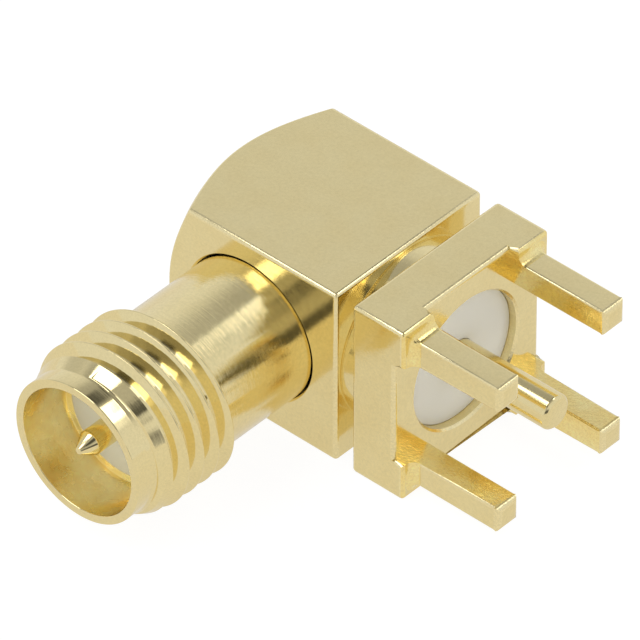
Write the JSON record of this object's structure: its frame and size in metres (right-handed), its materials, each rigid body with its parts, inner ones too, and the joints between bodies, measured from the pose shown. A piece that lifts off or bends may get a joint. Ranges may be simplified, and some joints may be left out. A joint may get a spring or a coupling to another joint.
{
  "type": "right-angle coaxial board connector",
  "caption": "Gold-plated right-angle coaxial jack for a circuit board: a square block with square board legs, a threaded barrel and a pin contact in a white insulator.",
  "frame": {"origin": "on the board pin's axis, in the plane of the corner pads that rest on the circuit board", "axes": "+X along the board pin and the legs, towards their tips; -Y along the barrel, out of its mouth; +Z across the block, so that the connector lies on its -Z flank"},
  "size_m": [0.0142, 0.0152, 0.007],
  "materials": {
    "gold_plate": "polished thin gold plate over brass",
    "contact_gold": "polished gold plate over brass",
    "insulator": "machined white fluoropolymer"
  },
  "bodies": {
    "root": {"body": "gold_plate", "threaded_barrel": "gold_plate", "front_insulator": "insulator", "mating_contact": "contact_gold", "board_insulator": "insulator", "board_pin": "contact_gold", "rear_cap": "gold_plate"}
  },
  "joints": []
}
